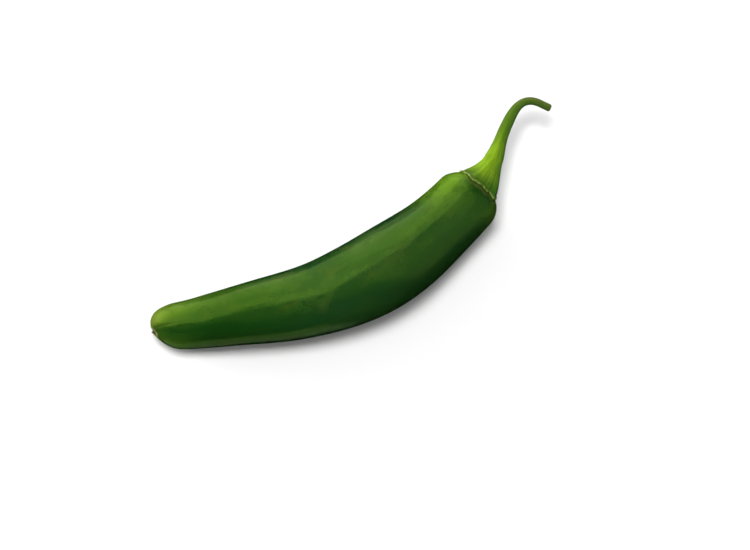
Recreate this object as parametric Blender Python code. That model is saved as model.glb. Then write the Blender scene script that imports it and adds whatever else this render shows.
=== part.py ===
"""A green chilli pepper as picked, lying on its side: the fruit, and the calyx with its stalk.

Metres, +Z up. The origin is on the surface it lies on, under the middle of its bounding box.
+X runs from the blossom end to the stalk, and the fruit's hollow side faces +Y.
Angles round a section are counted from +Y (0) over the top (a quarter turn) to -Y (half a turn).
"""

import math

import bmesh
import bpy
import numpy as np

MM = 0.001

# The fruit, along its bent middle line from the blossom end to the shoulder
FRUIT_LENGTH = 93.5 * MM
BELLY_RADIUS = 10.25 * MM
GIRTH = ((0, 0.53), (0.1, 0.6), (0.25, 0.75), (0.4, 0.865), (0.66, 1.0), (0.8, 0.9), (1, 0.79))
FRUIT_HEADING = ((0, -17), (0.2, -16), (0.4, -12), (0.55, 0), (0.7, 12.5), (0.85, 19), (1, 27))
TIP_ROUNDING = 7.2 * MM
SHOULDER_ROUNDING = 6.1 * MM
SECTION_HEIGHT = 0.97  # of its width

# How it lies: three low spots, cut flat, with the shoulder lifted clear
FLAT_DEPTH = 0.2 * MM
LOW_SPOT_RISE = 0.4 * MM
FIRST_LOW_SPOT = 0.11
LOW_SPOT_SPACING = 0.32
SHOULDER_LIFT = 2.8 * MM
SHOULDER_LIFT_FROM = 0.78

# Uneven growth: soft lobes over the seed chambers, and furrows that meet at the blossom end
LOBE_COUNT = 3
LOBE_SHARE = 0.012
SHOULDER_LOBE_SHARE = 0.03
LOBE_START = math.radians(55)
LOBE_TWIST = math.radians(40)
SWELL_SHARE = 0.006
SWELL_WAVES = 2.6
TIP_LEAN_SHARE = 0.45  # how far the tip is fuller on its hollow side
TIP_LEAN_REACH = 2.3 * MM
TIP_LEAN_AHEAD = 0.25  # how much of that goes ahead of the scar
TIP_LEAN_TO = math.radians(20)
FURROW_SHARE = 0.09
FURROW_REACH = 5 * MM
FURROW_WIDTH = math.radians(16)
FURROW_AT = math.radians(118)
SCAR_RADIUS = 1.1 * MM
SCAR_DEPTH = 0.45 * MM
SCAR_NUB = 0.8 * MM
SCAR_NUB_RADIUS = 0.45 * MM

# The calyx, a cap that sits on the shoulder
CALYX_GAP = 0.3 * MM
CALYX_THICKNESS = 0.35 * MM
RIM_BELOW_TOP = 1.15 * MM  # the rim's place down the fruit's middle line
RIM_LEAN = 0.35  # how much further down it is on its lower side
RIM_LEANS_TO = math.radians(130)
SEAT_DEPTH = 0.4 * MM  # how far the shoulder is sunk under the calyx
SEAT_BEYOND_RIM = 1.3 * MM
SEAT_EDGE = 1 * MM
LIP_HEIGHT = 0.1 * MM
LIP_WIDTH = 0.14  # of the flare's length
FLARE_LENGTH = 6.6 * MM  # where the calyx has become the stalk
FLARE_LEAVES_AT = math.radians(25)  # from the fruit's line
FLARE_LEAN = math.radians(9)  # more than that on the inner side of the bend, and less on the outer
FLARE_PULL = 2.8 * MM
NECK_PULL = 2 * MM
TOOTH_COUNT = 5
TOOTH_START = math.radians(8)
TOOTH_WIDTH = math.radians(9)
TOOTH_REACH = 0.45 * MM
TOOTH_STAND = 0.15 * MM

# The stalk, along its own middle line from the fruit's top to the cut
STALK_LENGTH = 31.2 * MM
STALK_HEADING = ((0, 27), (3.5, 33), (8, 45), (15, 42), (19.5, 35), (22.5, 18), (25, -13), (27.5, -43), (31, -46))
STALK_PITCH = ((0, 11), (8, 7), (18, -1), (31, -12))
STALK_RADIUS = ((6.6, 2.35), (9, 1.95), (11, 1.65), (13, 1.5), (17, 1.4), (22, 1.1), (31, 0.93))
ANGLE_SHARE = 0.05  # how far the stalk's five angles stand out
RIB_HEIGHT = 0.14 * MM
RIB_WIDTH = math.radians(13)
CUT_BEVEL = 0.2 * MM

LINE_SAMPLES = 601
NUDGE = 1e-3  # of a length or an angle, to find which way the fruit's surface faces
POLE_RING = 1e-4 * MM
AROUND = 40
FRUIT_RINGS = 56
UNDERSIDE_RINGS = 6
FLARE_RINGS = 12
FLARE_CROWDING = 1.3  # its rings lie closer together towards the rim
STALK_RINGS = 22

SKIN_GREEN = (0.045, 0.16, 0.022, 1)
STALK_GREEN = (0.17, 0.33, 0.035, 1)
SKIN_ROUGHNESS = 0.32
STALK_ROUGHNESS = 0.5


def spline(stations):
    """The natural cubic spline through (place, value) stations, as a function of the place."""
    places, values = np.array(stations, float).T
    steps = np.diff(places)
    slopes = np.diff(values) / steps
    matrix = np.eye(len(places))
    right = np.zeros(len(places))
    for i in range(1, len(places) - 1):
        matrix[i, i - 1 : i + 2] = steps[i - 1], 2 * (steps[i - 1] + steps[i]), steps[i]
        right[i] = 6 * (slopes[i] - slopes[i - 1])
    bends = np.linalg.solve(matrix, right)

    def at(place):
        i = np.clip(np.searchsorted(places, place) - 1, 0, len(places) - 2)
        before = (places[i + 1] - place) / steps[i]
        after = 1 - before
        curved = (before**3 - before) * bends[i] + (after**3 - after) * bends[i + 1]
        return before * values[i] + after * values[i + 1] + curved * steps[i] ** 2 / 6

    return at


girth = spline(GIRTH)
stalk_radius_mm = spline(STALK_RADIUS)


def running_sum(rates, step):
    """The integral of evenly spaced rates, by trapezia, starting from 0."""
    return np.concatenate([[0], np.cumsum((rates[1:] + rates[:-1]) / 2)]) * step


def lift(share):
    """How far the fruit's underside is held off the surface, before its low spots are cut flat."""
    wave = (1 - np.cos(math.tau * (share - FIRST_LOW_SPOT) / LOW_SPOT_SPACING)) / 2
    end = np.clip((share - SHOULDER_LIFT_FROM) / (1 - SHOULDER_LIFT_FROM), 0, None)
    return LOW_SPOT_RISE * wave + SHOULDER_LIFT * end**2 - FLAT_DEPTH


def fruit_line():
    """Points along the fruit's middle line, evenly spaced in plan."""
    share = np.linspace(0, 1, LINE_SAMPLES)
    heading = np.radians(spline(FRUIT_HEADING)(share))
    step = FRUIT_LENGTH / (LINE_SAMPLES - 1)
    height = BELLY_RADIUS * SECTION_HEIGHT * girth(share) + lift(share)
    return np.stack([running_sum(np.cos(heading), step), running_sum(np.sin(heading), step), height], 1)


def stalk_line(start):
    """Points along the stalk's middle line, from the fruit's top to the cut."""
    along = np.linspace(0, STALK_LENGTH, LINE_SAMPLES)
    heading = np.radians(spline(STALK_HEADING)(along / MM))
    pitch = np.radians(spline(STALK_PITCH)(along / MM))
    rates = (np.cos(pitch) * np.cos(heading), np.cos(pitch) * np.sin(heading), np.sin(pitch))
    step = along[1]
    return start + np.stack([running_sum(rate, step) for rate in rates], 1)


def frame_at(line, place):
    """The point at a place from 0 to 1 on a line, its direction, and the level and upright axes across it."""
    index = place * (len(line) - 1)
    low = int(np.clip(index, 1, len(line) - 3))
    part = index - low
    point = line[low] * (1 - part) + line[low + 1] * part
    ahead = line[low + 2] - line[low]
    behind = line[low + 1] - line[low - 1]
    direction = ahead * part + behind * (1 - part)
    direction /= np.linalg.norm(direction)
    level = np.cross((0, 0, 1), direction)
    level /= np.linalg.norm(level)
    return point, direction, level, np.cross(direction, level)


def rounding(distance, length):
    """1 along the body, falling to 0 at an end as a quarter ellipse of that length."""
    return math.sqrt(max(0, 1 - (1 - min(distance / length, 1)) ** 2))


def tooth_at(turn, width):
    """1 in the middle of each of the calyx's teeth, falling to 0 on both sides."""
    return math.exp(-((math.remainder(turn - TOOTH_START, math.tau / TOOTH_COUNT) / width) ** 2))


def rim_depth(turn):
    """How far down the fruit's middle line the calyx reaches, at an angle round it."""
    level = RIM_BELOW_TOP * (1 + RIM_LEAN * math.cos(turn - RIM_LEANS_TO))
    return level + TOOTH_REACH * tooth_at(turn, TOOTH_WIDTH)


def eased(part):
    """0 to 1 with a soft start and a soft end."""
    part = max(0, min(1, part))
    return part * part * (3 - 2 * part)


def fruit_point(line, share, turn):
    """A point of the fruit's surface, at a share of its length and an angle round its section."""
    point, direction, level, upright = frame_at(line, share)
    from_tip = share * FRUIT_LENGTH
    from_top = FRUIT_LENGTH - from_tip
    lobe_turn = LOBE_COUNT * (turn - LOBE_START) - LOBE_TWIST * share
    shoulder = math.exp(-from_top / SHOULDER_ROUNDING)
    lobe = (LOBE_SHARE + SHOULDER_LOBE_SHARE * shoulder) * math.cos(lobe_turn)
    swell = SWELL_SHARE * math.sin(math.tau * SWELL_WAVES * share + turn)
    lean = TIP_LEAN_SHARE * math.exp(-from_tip / TIP_LEAN_REACH) * math.cos(turn - TIP_LEAN_TO)
    furrow_turn = math.remainder(turn - FURROW_AT, math.tau / LOBE_COUNT)
    furrow = math.exp(-((furrow_turn / FURROW_WIDTH) ** 2) - from_tip / FURROW_REACH)
    radius = BELLY_RADIUS * girth(share)
    radius *= rounding(from_tip, TIP_ROUNDING) * rounding(from_top, SHOULDER_ROUNDING)
    radius *= 1 + lobe + swell + lean - FURROW_SHARE * furrow
    across = level * math.cos(turn) + upright * math.sin(turn) * SECTION_HEIGHT
    surface = point + (across - direction * lean * TIP_LEAN_AHEAD) * radius
    if share < 0.5:
        dent = SCAR_DEPTH * math.exp(-((radius / SCAR_RADIUS) ** 2))
        nub = SCAR_NUB * math.exp(-((radius / SCAR_NUB_RADIUS) ** 2))
        surface += direction * (dent - nub)
    surface -= direction * SEAT_DEPTH * eased((rim_depth(turn) + SEAT_BEYOND_RIM - from_top) / SEAT_EDGE)
    surface[2] = max(surface[2], 0)
    return surface


def above_fruit(line, below_top, turn, distance):
    """The point that stands this far off the fruit's surface, this far down from the fruit's top."""
    share = 1 - below_top / FRUIT_LENGTH
    surface = fruit_point(line, share, turn)
    along = surface - fruit_point(line, share - NUDGE, turn)
    around = fruit_point(line, share, turn + NUDGE) - fruit_point(line, share, turn - NUDGE)
    normal = np.cross(around, along)
    return surface + normal / np.linalg.norm(normal) * distance


def stalk_point(line, along, turn, radius):
    """A point of the stalk, whose rounded five-sided section has its angles above the calyx's teeth."""
    point, _, level, upright = frame_at(line, along / STALK_LENGTH)
    radius *= 1 + ANGLE_SHARE * math.cos(TOOTH_COUNT * (turn - TOOTH_START))
    return point + (level * math.cos(turn) + upright * math.sin(turn)) * radius


def flare_point(line, stalk, place, turn):
    """A point of the calyx's outside, on a Bezier arc from the rim (0) to the stalk's neck (1)."""
    depth = rim_depth(turn)
    thickness = CALYX_THICKNESS + TOOTH_STAND * tooth_at(turn, TOOTH_WIDTH)
    rim = above_fruit(line, depth, turn, CALYX_GAP + thickness)
    _, direction, level, upright = frame_at(line, 1 - depth / FRUIT_LENGTH)
    outward = level * math.cos(turn) + upright * math.sin(turn)
    leaves_at = FLARE_LEAVES_AT + FLARE_LEAN * math.cos(turn)
    leaving = direction * math.cos(leaves_at) - outward * math.sin(leaves_at)
    neck = stalk_point(stalk, FLARE_LENGTH, turn, stalk_radius_mm(FLARE_LENGTH / MM) * MM)
    arriving = frame_at(stalk, FLARE_LENGTH / STALK_LENGTH)[1]
    held = rim + leaving * FLARE_PULL, neck - arriving * NECK_PULL
    left = 1 - place
    arc = rim * left**3 + held[0] * 3 * left**2 * place + held[1] * 3 * left * place**2 + neck * place**3
    lip = LIP_HEIGHT * math.exp(-((place / LIP_WIDTH) ** 2))
    rib = RIB_HEIGHT * math.sin(math.pi * place) * tooth_at(turn, RIB_WIDTH)
    return arc + outward * (lip + rib)


def fruit_section(line, ring, turn):
    """The fruit's rings, closer together towards both ends."""
    return fruit_point(line, (1 - math.cos(math.pi * ring / FRUIT_RINGS)) / 2, turn)


def calyx_stalk_section(line, stalk, ring, turn):
    """The rings of the calyx and stalk: up its underside to the rim, over the flare, and along to the cut."""
    if ring <= UNDERSIDE_RINGS:
        depth = rim_depth(turn) * (ring / UNDERSIDE_RINGS) ** 2
        return above_fruit(line, max(depth, POLE_RING), turn, CALYX_GAP)
    ring -= UNDERSIDE_RINGS + 1
    if ring <= FLARE_RINGS:
        return flare_point(line, stalk, (ring / FLARE_RINGS) ** FLARE_CROWDING, turn)
    ring -= FLARE_RINGS
    if ring <= STALK_RINGS:
        run = STALK_LENGTH - CUT_BEVEL - FLARE_LENGTH
        along = FLARE_LENGTH + run * ring / STALK_RINGS
        return stalk_point(stalk, along, turn, stalk_radius_mm(along / MM) * MM)
    cut_radius = stalk_radius_mm(STALK_LENGTH / MM) * MM - CUT_BEVEL
    return stalk_point(stalk, STALK_LENGTH, turn, cut_radius if ring == STALK_RINGS + 1 else 0)


def loft(name, rings, section, material):
    """One closed piece: a UV sphere whose rings are carried onto sections from one end to the other."""
    shape = bmesh.new()
    bmesh.ops.create_uvsphere(shape, u_segments=AROUND, v_segments=rings, radius=1)
    for vertex in shape.verts:
        x, y, z = vertex.co
        ring = round(rings * (1 - math.acos(max(-1, min(1, z))) / math.pi))
        vertex.co = section(ring, math.atan2(y, x))
    mesh = bpy.data.meshes.new(name)
    shape.to_mesh(mesh)
    shape.free()
    mesh.shade_smooth()
    mesh.materials.append(material)
    piece = bpy.data.objects.new(name, mesh)
    bpy.data.collections["chilli_pepper"].objects.link(piece)
    return piece


def material_of(name, colour, roughness):
    material = bpy.data.materials.new(name)
    material.use_nodes = True
    shader = material.node_tree.nodes["Principled BSDF"]
    shader.inputs["Base Color"].default_value = colour
    shader.inputs["Roughness"].default_value = roughness
    shader.inputs["Metallic"].default_value = 0
    return material


def stand_over_origin(pieces):
    """Moves the pieces together so that the middle of their bounding box is over the origin."""
    points = np.array([vertex.co for piece in pieces for vertex in piece.data.vertices])
    middle = (points.min(0) + points.max(0)) / 2
    for piece in pieces:
        piece.location = (-middle[0], -middle[1], 0)


def main():
    for leftover in list(bpy.data.objects):
        bpy.data.objects.remove(leftover)
    collection = bpy.data.collections.new("chilli_pepper")
    bpy.context.scene.collection.children.link(collection)

    line = fruit_line()
    stalk = stalk_line(line[-1])
    skin = material_of("skin", SKIN_GREEN, SKIN_ROUGHNESS)
    green_stalk = material_of("stalk", STALK_GREEN, STALK_ROUGHNESS)
    calyx_rings = UNDERSIDE_RINGS + FLARE_RINGS + STALK_RINGS + 3
    fruit = loft("fruit", FRUIT_RINGS, lambda ring, turn: fruit_section(line, ring, turn), skin)
    calyx_stalk = loft(
        "calyx_and_stalk",
        calyx_rings,
        lambda ring, turn: calyx_stalk_section(line, stalk, ring, turn),
        green_stalk,
    )
    stand_over_origin([fruit, calyx_stalk])


main()
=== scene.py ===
"""A green chilli pepper on a plain white table: the fruit, and the calyx with its hooked stalk.

Metres, +Z up. +X runs from the blossom end to the stalk, and the fruit's hollow side faces +Y.
Angles round a section are counted from +Y (0) over the top (a quarter turn) to -Y (half a turn).
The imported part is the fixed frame. Both of its nodes are replaced by finer surfaces of the same formulas,
with the low relief and the finish that the plain solids leave out.
"""

import math

import bpy
import numpy as np
from bpy.props import FloatProperty, FloatVectorProperty, IntProperty, PointerProperty
from mathutils import Matrix, Vector


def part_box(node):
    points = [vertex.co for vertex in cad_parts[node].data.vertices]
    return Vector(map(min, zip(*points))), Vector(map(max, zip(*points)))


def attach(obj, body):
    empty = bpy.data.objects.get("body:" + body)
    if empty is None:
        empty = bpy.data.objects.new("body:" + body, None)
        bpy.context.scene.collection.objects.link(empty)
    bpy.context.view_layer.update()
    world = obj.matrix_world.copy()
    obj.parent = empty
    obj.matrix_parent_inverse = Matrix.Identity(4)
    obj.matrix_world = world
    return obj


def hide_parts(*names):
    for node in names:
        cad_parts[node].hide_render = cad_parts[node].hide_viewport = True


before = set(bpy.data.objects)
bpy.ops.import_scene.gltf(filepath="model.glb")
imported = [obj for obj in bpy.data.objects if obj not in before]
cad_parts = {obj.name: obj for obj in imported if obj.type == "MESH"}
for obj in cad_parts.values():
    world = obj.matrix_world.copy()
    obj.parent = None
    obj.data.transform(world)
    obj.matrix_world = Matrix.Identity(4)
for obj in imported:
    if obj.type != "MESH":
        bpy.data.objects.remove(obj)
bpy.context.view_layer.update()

bl_info = {
    "name": "Chilli Pepper",
    "version": (1, 0, 0),
    "blender": (4, 5, 0),
    "location": "View3D > Sidebar > Chilli",
    "description": "A green chilli pepper with its calyx and stalk, in a plain studio",
    "category": "Add Mesh",
}

MM = 0.001

# The fruit's middle line and sections, by share of its length from the blossom end
GIRTH = ((0, 0.53), (0.1, 0.6), (0.25, 0.75), (0.4, 0.865), (0.66, 1.0), (0.8, 0.9), (1, 0.79))
FRUIT_HEADING = ((0, -17), (0.2, -16), (0.4, -12), (0.55, 0), (0.7, 12.5), (0.85, 19), (1, 27))
TIP_ROUNDING = 7.2 * MM
SHOULDER_ROUNDING = 6.1 * MM
SECTION_HEIGHT = 0.97
FLAT_DEPTH = 0.2 * MM
LOW_SPOT_RISE = 0.4 * MM
FIRST_LOW_SPOT = 0.11
LOW_SPOT_SPACING = 0.32
SHOULDER_LIFT = 2.8 * MM
SHOULDER_LIFT_FROM = 0.78
LOBE_COUNT = 3
LOBE_SHARE = 0.012
SHOULDER_LOBE_SHARE = 0.03
LOBE_START = math.radians(55)
LOBE_TWIST = math.radians(40)
SWELL_SHARE = 0.006
SWELL_WAVES = 2.6
TIP_LEAN_SHARE = 0.45
TIP_LEAN_REACH = 2.3 * MM
TIP_LEAN_AHEAD = 0.25
TIP_LEAN_TO = math.radians(20)
FURROW_SHARE = 0.09
FURROW_REACH = 5 * MM
FURROW_WIDTH = math.radians(16)
FURROW_AT = math.radians(118)
SCAR_RADIUS = 1.1 * MM
SCAR_DEPTH = 0.45 * MM
SCAR_NUB = 0.8 * MM
SCAR_NUB_RADIUS = 0.45 * MM
# The finished skin's scar: tipped up from the middle line's end, inside a raised ring, with a groove leading to it
SCAR_RAISED = 1.5 * MM
SCAR_RAISED_TO = math.radians(128)
SCAR_RING = 1.25 * MM
SCAR_RING_WIDTH = SCAR_RING / 4
SCAR_RING_HEIGHT = 0.22 * MM
TIP_GROOVE = 0.4 * MM
TIP_GROOVE_WIDTH = 0.45 * MM
TIP_GROOVE_REACH = 2.4 * MM
TIP_CREASE_AT = math.radians(97)
# The finished skin's seat closes up under the calyx's rim
SKIN_SEAT_BEYOND_RIM = 0.38 * MM
SKIN_SEAT_EDGE = 0.2 * MM
# Low relief of the skin's ends, in mm: heights, and distances from the rim or the tip
CUSHION_HEIGHT = 0.1
CUSHION_AT = 1.2
CUSHION_WIDTH = 0.8
PLEAT_COUNT = 23
PLEAT_HEIGHT = 0.035
PLEATS_FROM = 0.6
PLEAT_REACH = 2.2
PUCKER_COUNT = 14
PUCKER_HEIGHT = 0.05
PUCKER_REACH = 1.6
FURROW_CREASE_DEPTH = 0.22
FURROW_CREASE_WIDTH = 0.09
FURROW_CREASE_REACH = 2.4
TIP_CREASE_DEPTH = 0.5
TIP_CREASE_WIDTH = 0.35
TIP_CREASE_REACH = 2.6

# The calyx
CALYX_GAP = 0.3 * MM
CALYX_THICKNESS = 0.35 * MM
RIM_BELOW_TOP = 1.15 * MM
RIM_LEAN = 0.35
RIM_LEANS_TO = math.radians(130)
SEAT_DEPTH = 0.4 * MM
SEAT_BEYOND_RIM = 1.3 * MM
SEAT_EDGE = 1 * MM
LIP_HEIGHT = 0.1 * MM
LIP_WIDTH = 0.14
FLARE_LENGTH = 6.6 * MM
FLARE_LEAVES_AT = math.radians(25)
FLARE_LEAN = math.radians(9)
FLARE_PULL = 2.8 * MM
NECK_PULL = 2 * MM
TOOTH_COUNT = 5
TOOTH_START = math.radians(8)
TOOTH_WIDTH = math.radians(9)
TOOTH_REACH = 0.45 * MM
TOOTH_STAND = 0.15 * MM
# The finished calyx, by share of the way from its rim to the stalk's neck
RIM_RIDGE_HEIGHT = 0.06 * MM
RIM_RIDGE_AT = 0.012
RIM_RIDGE_WIDTH = 0.027
RIM_GROOVE_DEPTH = 0.12 * MM
RIM_GROOVE_AT = 0.11
RIM_GROOVE_WIDTH = 0.035
RIM_BOW = 0.45
RIBS_FROM_RIM = 0.05
CALYX_RIB_SHARE = 0.4
# The short fold that leaves the rim slantwise: along the calyx it is a share, round it radians
FOLD_HEIGHT = 0.11 * MM
FOLD_WIDTH = 0.018
FOLD_START = 0.03
FOLD_START_TURN = 0.75
FOLD_SLANT = 0.16
FOLD_MIDDLE_TURN = 1.0
FOLD_REACH = 0.28

# The stalk, by millimetres along its middle line from the fruit's top
STALK_HEADING = ((0, 27), (3.5, 33), (8, 45), (15, 42), (19.5, 35), (22.5, 18), (25, -13), (27.5, -43), (31, -46))
STALK_PITCH = ((0, 11), (8, 7), (18, -1), (31, -12))
STALK_RADIUS = ((6.6, 2.35), (9, 1.95), (11, 1.65), (13, 1.5), (17, 1.4), (22, 1.1), (31, 0.93))
ANGLE_SHARE = 0.05
RIB_HEIGHT = 0.14 * MM
RIB_WIDTH = math.radians(13)
RIB_WANDER_RATE = 0.35
CUT_SUNK = 0.12 * MM
CUT_SUNK_BY = 0.8
FIBRE_COUNT = 9
FIBRE_TWIST = 8
FIBRE_HEIGHT = 0.03 * MM
CUT_STAIN = 0.5 * MM
# The tint of the calyx's rim, made stronger on the lit side by painted light: its width as a share, and its strength
# in the painted shade, by its knots, on its edge and fold
RIDGE_TINT_WIDTH = 0.022
RIDGE_IN_SHADE = 0.1
KNOTS_LEAST = 0.55
KNOTS_FULL = 0.14 * MM
EDGE_IN_SHADE = 0.5
EDGE_LIT_GAIN = 0.4
FOLD_TINT = 0.6
# The straightened piece that patterns are laid on: how far its underside reaches, and its places and radii in mm
UNDERSIDE_LAID = 2 * MM
STRAIGHT_RADIUS = ((-2, 2), (0, 5.5), (3, 3.6), (6.6, 2.4), (12, 1.55), (31.2, 1))

# The angles towards which light is painted on the fruit and on the calyx and stalk, with painted shade opposite,
# and how far the fruit's wanders along it
LIT_SIDE = math.radians(25)
LIT_SIDE_WANDER = 0.25
LIT_SIDE_WANDER_WAVES = 1.7
STALK_LIT_SIDE = math.radians(42)

# How finely lines and surfaces are made
LINE_SAMPLES = 1201
NUDGE = 1e-3
POLE_RING = 1e-4 * MM
UNDERSIDE_ROWS = 12
UNDERSIDE_FROM = 0.02
EDGE_ROWS = 9
FLARE_ROWS = 110
FLARE_CROWDING = 1.3
STEM_ROWS = 150
BEND_ROWS = 10
CUT_ROWS = 14
CUT_TO = 0.98
FAR_FROM_SCAR = 9

# Shallow dents of the skin: share of the length, angle, half length as a share, half width in degrees, depth in mm
DENTS = (
    (0.17, 62, 0.05, 26, 0.10), (0.30, 108, 0.06, 30, 0.09), (0.37, 58, 0.035, 18, 0.07), (0.47, 84, 0.05, 22, 0.12),
    (0.55, 128, 0.07, 24, 0.09), (0.62, 66, 0.04, 20, 0.10), (0.73, 100, 0.05, 26, 0.12), (0.81, 52, 0.04, 18, 0.09),
    (0.86, 122, 0.035, 20, 0.08), (0.24, 205, 0.06, 30, 0.10), (0.45, 236, 0.08, 34, 0.12), (0.68, 214, 0.05, 28, 0.10),
    (0.83, 268, 0.05, 30, 0.10), (0.34, 322, 0.07, 28, 0.11), (0.58, 340, 0.05, 26, 0.10), (0.78, 318, 0.05, 24, 0.09),
)
# Long soft waves of the skin: waves round it, waves along it, where they start in degrees, height in mm
SKIN_WAVES = (
    (2, 3.1, 20, 0.045), (3, 1.4, 140, 0.05), (4, 5.3, 75, 0.022),
    (5, 2.2, 200, 0.025), (7, 6.1, 310, 0.007), (9, 3.7, 30, 0.005),
)
# Fine lengthwise ribs of the calyx and stalk: ribs round it, wander in degrees of each rib's wave, height in mm
FINE_RIBS = ((11, 60, 0.022), (17, 102, 0.018), (26, 75, 0.012), (37, 54, 0.008))
# Wavers of the calyx's worn rim: waves round it, where they start and how far they swing in radians, height in mm
RIM_WAVERS = ((9, 1, 0, 0.1), (16, 0, 2.5, 0.08), (31, 0, 0, 0.05))
# Knots along the calyx's rim: angle, half width in degrees, height in mm
RIM_KNOTS = (
    (8, 7, 0.16), (36, 4, 0.07), (58, 6, 0.13), (80, 9, 0.18), (104, 5, 0.1), (131, 4, 0.08),
    (152, 7, 0.16), (190, 5, 0.09), (224, 7, 0.15), (262, 5, 0.1), (296, 7, 0.15), (335, 5, 0.09),
)

# The studio's lights: name, azimuth and elevation in degrees, distance and sizes in metres, and what shows them
LIGHTS = (
    ("overhead", 236, 85.5, 1.0, (0.36, 0.36), "diffuse"),
    ("side", 215, 14, 1.0, (0.7, 0.4), "diffuse"),
    ("window", 195, 42, 0.9, (2.0, 1.8), "gloss"),
    ("back_window", 149, 15, 0.9, (1.1, 1.5), "gloss"),
    ("low_card", 318, -36, 0.8, (0.8, 0.7), "gloss"),
    ("ceiling_card", 335, 75, 1.2, (2.4, 1.2), "gloss"),
    ("right_card", 55, 40, 0.9, (1.05, 1.75), "gloss"),
)
TABLE_HALF = 3.0
LENS = 96
CLIP = 0.01, 20
# The camera aims this high above the middle, and is then moved by these mm to its right and down
AIM_HEIGHT = 8 * MM
AIM_RIGHT = 1.77
AIM_DOWN = 6.96


def spline(stations):
    """The natural cubic spline through (place, value) stations, as a function of an array of places."""
    places, values = np.array(stations, float).T
    steps = np.diff(places)
    slopes = np.diff(values) / steps
    matrix = np.eye(len(places))
    inner = np.arange(1, len(places) - 1)
    matrix[inner, inner - 1] = steps[:-1]
    matrix[inner, inner] = 2 * (steps[:-1] + steps[1:])
    matrix[inner, inner + 1] = steps[1:]
    right = np.zeros(len(places))
    right[inner] = 6 * np.diff(slopes)
    bends = np.linalg.solve(matrix, right)

    def at(place):
        i = np.clip(np.searchsorted(places, place) - 1, 0, len(places) - 2)
        before = (places[i + 1] - place) / steps[i]
        after = 1 - before
        curved = (before**3 - before) * bends[i] + (after**3 - after) * bends[i + 1]
        return before * values[i] + after * values[i + 1] + curved * steps[i] ** 2 / 6

    return at


girth = spline(GIRTH)
radius_mm = spline(STALK_RADIUS)


def stalk_radius(along):
    return radius_mm(along / MM) * MM


def running_sum(rates, step):
    """The integral of evenly spaced rates, by trapezia, starting from 0."""
    return np.concatenate([[0], np.cumsum((rates[1:] + rates[:-1]) / 2)]) * step


def unit(vectors):
    return vectors / np.linalg.norm(vectors, axis=-1, keepdims=True)


def frame_at(line, place):
    """Points at places from 0 to 1 on a line, its directions there, and the level and upright axes across it."""
    index = np.asarray(place, float) * (len(line) - 1)
    low = np.clip(index, 1, len(line) - 3).astype(int)
    part = (index - low)[..., None]
    point = line[low] * (1 - part) + line[low + 1] * part
    direction = unit((line[low + 2] - line[low]) * part + (line[low + 1] - line[low - 1]) * (1 - part))
    level = unit(np.cross((0, 0, 1), direction))
    return point, direction, level, np.cross(direction, level)


def rounding(distance, length):
    """1 along the body, falling to 0 at an end as a quarter ellipse of that length."""
    return np.sqrt(np.clip(1 - (1 - np.clip(distance / length, 0, 1)) ** 2, 0, None))


def nearest_turn(turn, start, count):
    """How far an angle is from the nearest of count evenly spaced ones, the first at start, with its sign."""
    period = math.tau / count
    return (turn - start + period / 2) % period - period / 2


def hump(distance, width):
    """1 at 0, falling to 0 on both sides as the bell curve exp(-(distance / width) squared)."""
    return np.exp(-((distance / width) ** 2))


def eased(part):
    """0 to 1 with a soft start and a soft end."""
    part = np.clip(part, 0, 1)
    return part * part * (3 - 2 * part)


def tooth_at(turn, width):
    """1 at each of the calyx's teeth, falling to 0 beside it."""
    return hump(nearest_turn(turn, TOOTH_START, TOOTH_COUNT), width)


def rim_depth(turn):
    """How far down the fruit's middle line the calyx reaches: further on its lower side, and at each tooth."""
    return RIM_BELOW_TOP * (1 + RIM_LEAN * np.cos(turn - RIM_LEANS_TO)) + TOOTH_REACH * tooth_at(turn, TOOTH_WIDTH)


def rim_thickness(turn):
    return CALYX_THICKNESS + TOOTH_STAND * tooth_at(turn, TOOTH_WIDTH)


def worn_rim(turn):
    """The depth of the finished calyx's rim: the plain rim's, plus sines whose phase swings twice round it."""
    wavers = 0
    for count, start, swing, height in RIM_WAVERS:
        wavers = wavers + height * np.sin(count * turn + start + swing * np.sin(2 * turn))
    return rim_depth(turn) + wavers * MM


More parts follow.
